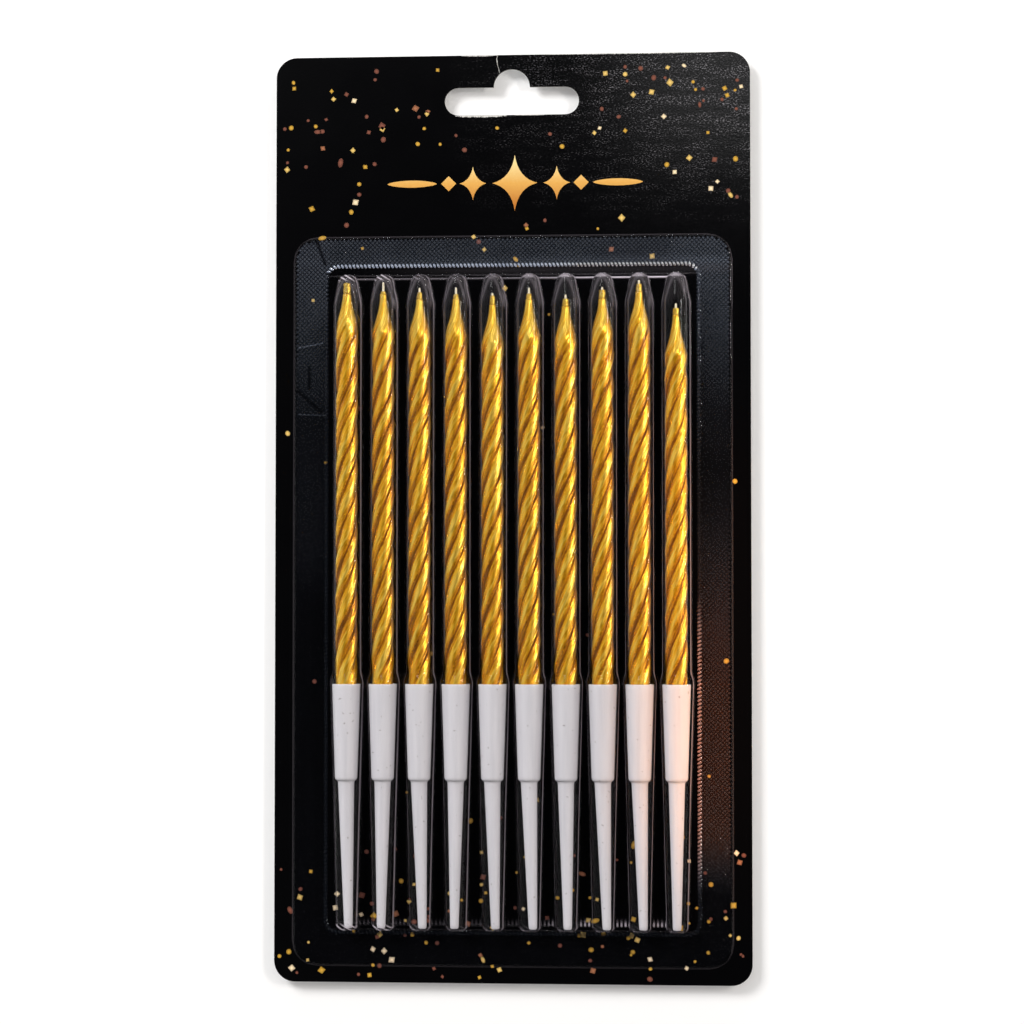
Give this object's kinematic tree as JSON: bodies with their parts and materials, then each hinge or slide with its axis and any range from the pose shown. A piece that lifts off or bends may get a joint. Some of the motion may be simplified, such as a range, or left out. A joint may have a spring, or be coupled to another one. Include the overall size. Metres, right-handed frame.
{
  "type": "spiral birthday candle set",
  "caption": "Hanging retail card with a clear formed blister over a row of gold spiral birthday candles, each standing in a white pick holder and free to slide in it.",
  "frame": {"origin": "centre of the card's back face, with the pack lying on its back", "axes": "+X across the card, +Y up the card to the hang slot, +Z out of the printed face"},
  "size_m": [0.113, 0.2202, 0.0078],
  "materials": {
    "printed_card": "gloss",
    "clear_film": "gloss",
    "gold_wax": "satin",
    "waxed_wick": "satin",
    "white_plastic": "gloss"
  },
  "bodies": {
    "pack": {"hang_card": "printed_card", "blister": "clear_film", "holder_01": "white_plastic", "holder_02": "white_plastic", "holder_03": "white_plastic", "holder_04": "white_plastic", "holder_05": "white_plastic", "holder_06": "white_plastic", "holder_07": "white_plastic", "holder_08": "white_plastic", "holder_09": "white_plastic", "holder_10": "white_plastic"},
    "candle_01": {"candle_01": "gold_wax", "wick_01": "waxed_wick"},
    "candle_02": {"candle_02": "gold_wax", "wick_02": "waxed_wick"},
    "candle_03": {"candle_03": "gold_wax", "wick_03": "waxed_wick"},
    "candle_04": {"candle_04": "gold_wax", "wick_04": "waxed_wick"},
    "candle_05": {"candle_05": "gold_wax", "wick_05": "waxed_wick"},
    "candle_06": {"candle_06": "gold_wax", "wick_06": "waxed_wick"},
    "candle_07": {"candle_07": "gold_wax", "wick_07": "waxed_wick"},
    "candle_08": {"candle_08": "gold_wax", "wick_08": "waxed_wick"},
    "candle_09": {"candle_09": "gold_wax", "wick_09": "waxed_wick"},
    "candle_10": {"candle_10": "gold_wax", "wick_10": "waxed_wick"}
  },
  "joints": [
    {"name": "candle_01_slide", "type": "slide", "parent": "pack", "child": "candle_01", "axis": [0, 1, 0], "range_m": [-0.0056, 0.0014]},
    {"name": "candle_02_slide", "type": "slide", "parent": "pack", "child": "candle_02", "axis": [0, 1, 0], "range_m": [-0.0056, 0.0014]},
    {"name": "candle_03_slide", "type": "slide", "parent": "pack", "child": "candle_03", "axis": [0, 1, 0], "range_m": [-0.0042, 0.0028]},
    {"name": "candle_04_slide", "type": "slide", "parent": "pack", "child": "candle_04", "axis": [0, 1, 0], "range_m": [-0.0042, 0.0028]},
    {"name": "candle_05_slide", "type": "slide", "parent": "pack", "child": "candle_05", "axis": [0, 1, 0], "range_m": [-0.0028, 0.0042]},
    {"name": "candle_06_slide", "type": "slide", "parent": "pack", "child": "candle_06", "axis": [0, 1, 0], "range_m": [-0.004, 0.003]},
    {"name": "candle_07_slide", "type": "slide", "parent": "pack", "child": "candle_07", "axis": [0, 1, 0], "range_m": [-0.0023, 0.0047]},
    {"name": "candle_08_slide", "type": "slide", "parent": "pack", "child": "candle_08", "axis": [0, 1, 0], "range_m": [-0.004, 0.003]},
    {"name": "candle_09_slide", "type": "slide", "parent": "pack", "child": "candle_09", "axis": [0, 1, 0], "range_m": [-0.0056, 0.0014]},
    {"name": "candle_10_slide", "type": "slide", "parent": "pack", "child": "candle_10", "axis": [0, 1, 0], "range_m": [0, 0.007]}
  ]
}
